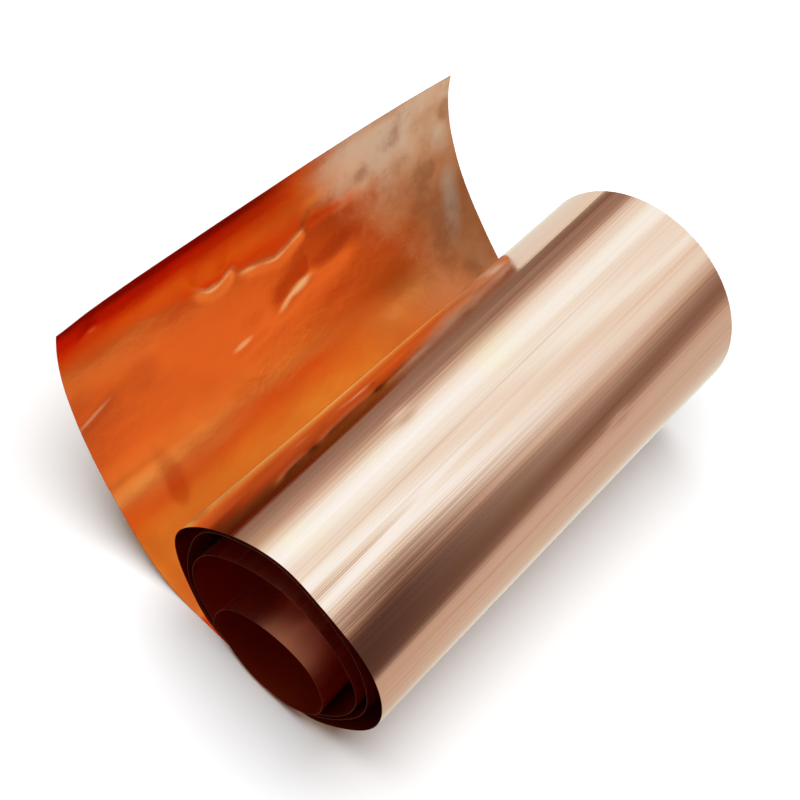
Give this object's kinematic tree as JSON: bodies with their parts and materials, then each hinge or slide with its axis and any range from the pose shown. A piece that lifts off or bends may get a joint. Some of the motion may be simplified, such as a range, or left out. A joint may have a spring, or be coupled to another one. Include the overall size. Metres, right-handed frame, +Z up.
{
  "type": "copper foil roll",
  "caption": "Loosely wound roll of bare copper foil lying on its side, squashed at one end, with its outer end standing free as a long curved tail.",
  "frame": {"origin": "centre of the bounding box, on the surface the roll lies on", "axes": "+Y along the roll's axis from its squashed end to its round end, +Z up, the free tail towards -X"},
  "size_m": [0.152, 0.203, 0.0868],
  "materials": {
    "copper_foil": "rolled mirror copper, rose outside, handled and slightly tarnished on the tail"
  },
  "bodies": {
    "coil": {"tail_foot": "copper_foil", "outer_turn": "copper_foil", "second_turn": "copper_foil", "third_turn": "copper_foil"},
    "inner_turn": {"inner_turn": "copper_foil"},
    "tail_panel_01": {"tail_panel_01": "copper_foil"},
    "tail_panel_02": {"tail_panel_02": "copper_foil"},
    "tail_panel_03": {"tail_panel_03": "copper_foil"},
    "tail_panel_04": {"tail_panel_04": "copper_foil"},
    "tail_panel_05": {"tail_panel_05": "copper_foil"},
    "tail_panel_06": {"tail_panel_06": "copper_foil"},
    "tail_panel_07": {"tail_panel_07": "copper_foil"},
    "tail_panel_08": {"tail_panel_08": "copper_foil"},
    "tail_panel_09": {"tail_panel_09": "copper_foil"},
    "tail_panel_10": {"tail_panel_10": "copper_foil"},
    "tail_panel_11": {"tail_panel_11": "copper_foil"},
    "tail_tip": {"tail_tip": "copper_foil"}
  },
  "joints": [
    {"name": "inner_turn_slide", "type": "slide", "parent": "coil", "child": "inner_turn", "axis": [0, 1, 0], "range_m": [-0.03, 0.03]},
    {"name": "tail_bend", "type": "hinge", "parent": "coil", "child": "tail_panel_01", "pos_m": [-0.00151, 0, 0.0003], "axis": [0, 1, 0], "range_deg": [-9.1, 10.8]},
    {"name": "tail_bend_02", "type": "hinge", "parent": "tail_panel_01", "child": "tail_panel_02", "pos_m": [-0.00841, 0, 0.00142], "axis": [0, 1, 0], "range_deg": [-9.24, 10.95]},
    {"name": "tail_bend_03", "type": "hinge", "parent": "tail_panel_02", "child": "tail_panel_03", "pos_m": [-0.01552, 0, 0.00379], "axis": [0, 1, 0], "range_deg": [-8.92, 10.57]},
    {"name": "tail_bend_04", "type": "hinge", "parent": "tail_panel_03", "child": "tail_panel_04", "pos_m": [-0.02306, 0, 0.0077], "axis": [0, 1, 0], "range_deg": [-6.37, 7.55]},
    {"name": "tail_bend_05", "type": "hinge", "parent": "tail_panel_04", "child": "tail_panel_05", "pos_m": [-0.03137, 0, 0.01326], "axis": [0, 1, 0], "range_deg": [-3.79, 4.48]},
    {"name": "tail_bend_06", "type": "hinge", "parent": "tail_panel_05", "child": "tail_panel_06", "pos_m": [-0.04009, 0, 0.01997], "axis": [0, 1, 0], "range_deg": [-3.04, 3.6]},
    {"name": "tail_bend_07", "type": "hinge", "parent": "tail_panel_06", "child": "tail_panel_07", "pos_m": [-0.04844, 0, 0.02712], "axis": [0, 1, 0], "range_deg": [-4, 4.74]},
    {"name": "tail_bend_08", "type": "hinge", "parent": "tail_panel_07", "child": "tail_panel_08", "pos_m": [-0.05557, 0, 0.03413], "axis": [0, 1, 0], "range_deg": [-4.99, 5.92]},
    {"name": "tail_bend_09", "type": "hinge", "parent": "tail_panel_08", "child": "tail_panel_09", "pos_m": [-0.06173, 0, 0.04136], "axis": [0, 1, 0], "range_deg": [-5.55, 6.57]},
    {"name": "tail_bend_10", "type": "hinge", "parent": "tail_panel_09", "child": "tail_panel_10", "pos_m": [-0.06688, 0, 0.04874], "axis": [0, 1, 0], "range_deg": [-6.48, 7.68]},
    {"name": "tail_bend_11", "type": "hinge", "parent": "tail_panel_10", "child": "tail_panel_11", "pos_m": [-0.07092, 0, 0.05621], "axis": [0, 1, 0], "range_deg": [-7.25, 8.59]},
    {"name": "tail_bend_12", "type": "hinge", "parent": "tail_panel_11", "child": "tail_tip", "pos_m": [-0.0738, 0, 0.06366], "axis": [0, 1, 0], "range_deg": [-8.57, 10.16]}
  ],
  "couplings": [
    {"joint": "tail_bend_02", "follows": "tail_bend", "ratio": 1.0089},
    {"joint": "tail_bend_03", "follows": "tail_bend", "ratio": 0.9737},
    {"joint": "tail_bend_04", "follows": "tail_bend", "ratio": 0.6943},
    {"joint": "tail_bend_05", "follows": "tail_bend", "ratio": 0.4099},
    {"joint": "tail_bend_06", "follows": "tail_bend", "ratio": 0.3278},
    {"joint": "tail_bend_07", "follows": "tail_bend", "ratio": 0.4335},
    {"joint": "tail_bend_08", "follows": "tail_bend", "ratio": 0.5426},
    {"joint": "tail_bend_09", "follows": "tail_bend", "ratio": 0.6037},
    {"joint": "tail_bend_10", "follows": "tail_bend", "ratio": 0.7062},
    {"joint": "tail_bend_11", "follows": "tail_bend", "ratio": 0.7903},
    {"joint": "tail_bend_12", "follows": "tail_bend", "ratio": 0.9356}
  ]
}
